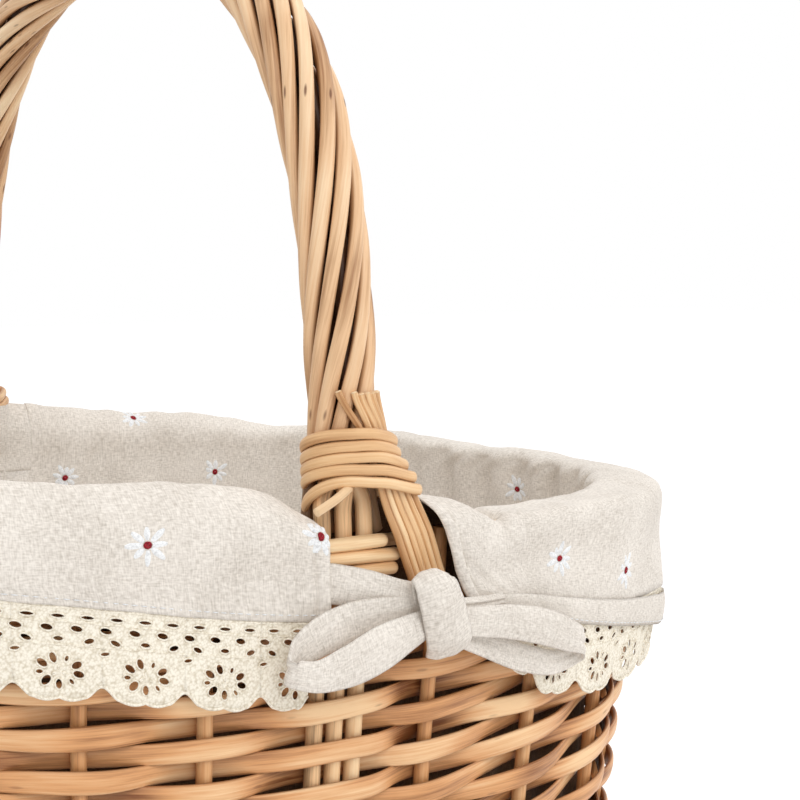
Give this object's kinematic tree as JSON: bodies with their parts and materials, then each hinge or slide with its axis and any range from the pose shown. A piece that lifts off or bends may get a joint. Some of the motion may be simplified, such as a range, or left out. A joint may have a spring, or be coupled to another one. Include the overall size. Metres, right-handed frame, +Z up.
{
  "type": "lined wicker basket with bow handle",
  "caption": "Oval woven willow basket with a fixed roped bow handle, a cloth liner rolled over the rim, lace hems and tied bows",
  "frame": {"origin": "under the middle of the oval, on the surface the basket stands on", "axes": "X along the oval, Y across it through both handle feet, Z up"},
  "size_m": [0.4406, 0.3462, 0.418],
  "materials": {
    "willow": "satin, varnished",
    "peeled_willow": "satin, varnished",
    "linen": "matt slubby plain weave",
    "lace_cotton": "matt eyelet lace"
  },
  "bodies": {
    "root": {"base_hoop": "willow", "base_mat": "willow", "base_stick_1": "willow", "base_stick_2": "willow", "base_stick_3": "willow", "bundle_far": "peeled_willow", "bundle_near": "peeled_willow", "foot_rod_lower": "willow", "foot_rod_middle": "willow", "foot_rod_upper": "willow", "handle_binding_far": "peeled_willow", "handle_binding_near": "peeled_willow", "handle_bow_rod_1": "willow", "handle_bow_rod_2": "willow", "handle_bow_rod_3": "willow", "handle_roping_rod_1": "peeled_willow", "handle_roping_rod_2": "peeled_willow", "handle_roping_rod_3": "peeled_willow", "handle_roping_rod_4": "peeled_willow", "handle_roping_rod_5": "peeled_willow", "handle_roping_rod_6": "peeled_willow", "handle_roping_rod_7": "peeled_willow", "handle_roping_rod_8": "peeled_willow", "handle_roping_rod_9": "peeled_willow", "hem_band_right": "linen", "lace_left": "lace_cotton", "lace_right": "lace_cotton", "liner": "linen", "rim_rod_inside": "peeled_willow", "rim_rod_left_lower": "peeled_willow", "rim_rod_left_middle": "peeled_willow", "rim_rod_left_upper": "peeled_willow", "rim_rod_right_lower": "peeled_willow", "rim_rod_right_middle": "peeled_willow", "rim_rod_right_upper": "peeled_willow", "stake_01": "willow", "stake_02": "willow", "stake_03": "willow", "stake_04": "willow", "stake_05": "willow", "stake_06": "willow", "stake_07": "willow", "stake_08": "willow", "stake_09": "willow", "stake_10": "willow", "stake_12": "willow", "stake_13": "willow", "stake_14": "willow", "stake_15": "willow", "stake_16": "willow", "stake_17": "willow", "stake_18": "willow", "stake_19": "willow", "stake_20": "willow", "stake_21": "willow", "tie_bow_far": "linen", "tie_bow_near": "linen", "weaver_first": "willow", "weaver_second": "willow"}
  },
  "joints": []
}
